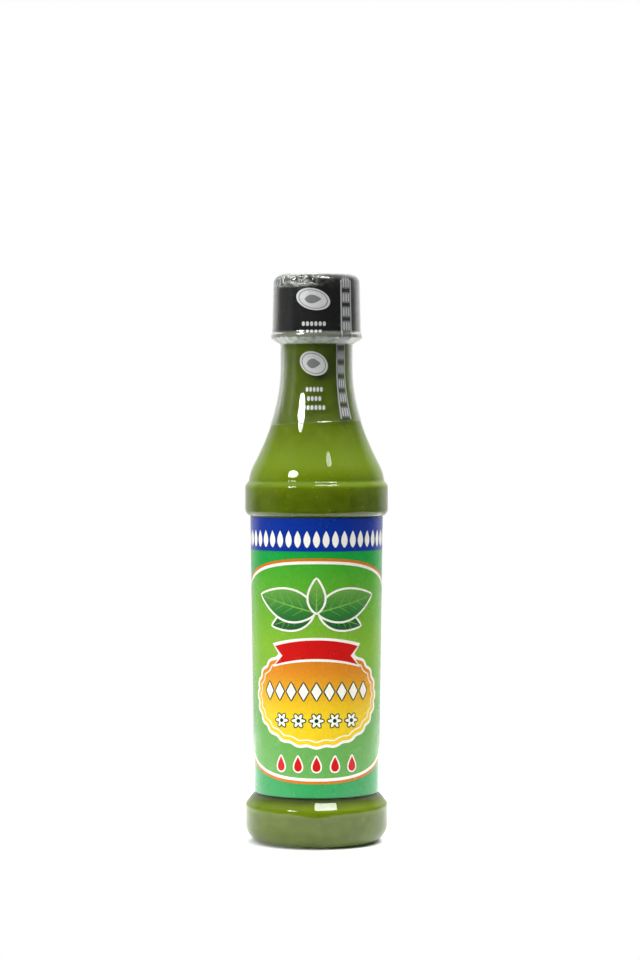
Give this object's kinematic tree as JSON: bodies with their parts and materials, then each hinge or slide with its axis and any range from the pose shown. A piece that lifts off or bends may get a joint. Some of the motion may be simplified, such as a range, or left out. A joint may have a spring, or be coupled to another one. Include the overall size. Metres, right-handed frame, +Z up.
{
  "type": "hot sauce bottle",
  "caption": "Shut clear bottle of green chilli sauce with a flared neck, shoulder bead, recessed wrap label, black screw cap and clear shrink seal.",
  "frame": {"origin": "middle of the bottle's foot, on the surface it stands on", "axes": "+Z up along the bottle's axis of turning, the front of the label faces -Y"},
  "size_m": [0.05, 0.05, 0.1981],
  "materials": {
    "clear_plastic": "clear glossy blown plastic",
    "sauce": "smooth wet green puree with fine flecks",
    "label_film": "glossy printed film, green with a blue band",
    "cap_plastic": "satin black moulded plastic",
    "seal_film": "clear glossy shrink film with a silver tear strip"
  },
  "bodies": {
    "root": {"bottle": "clear_plastic", "sauce": "sauce", "label": "label_film", "cap": "cap_plastic", "seal": "seal_film"}
  },
  "joints": []
}
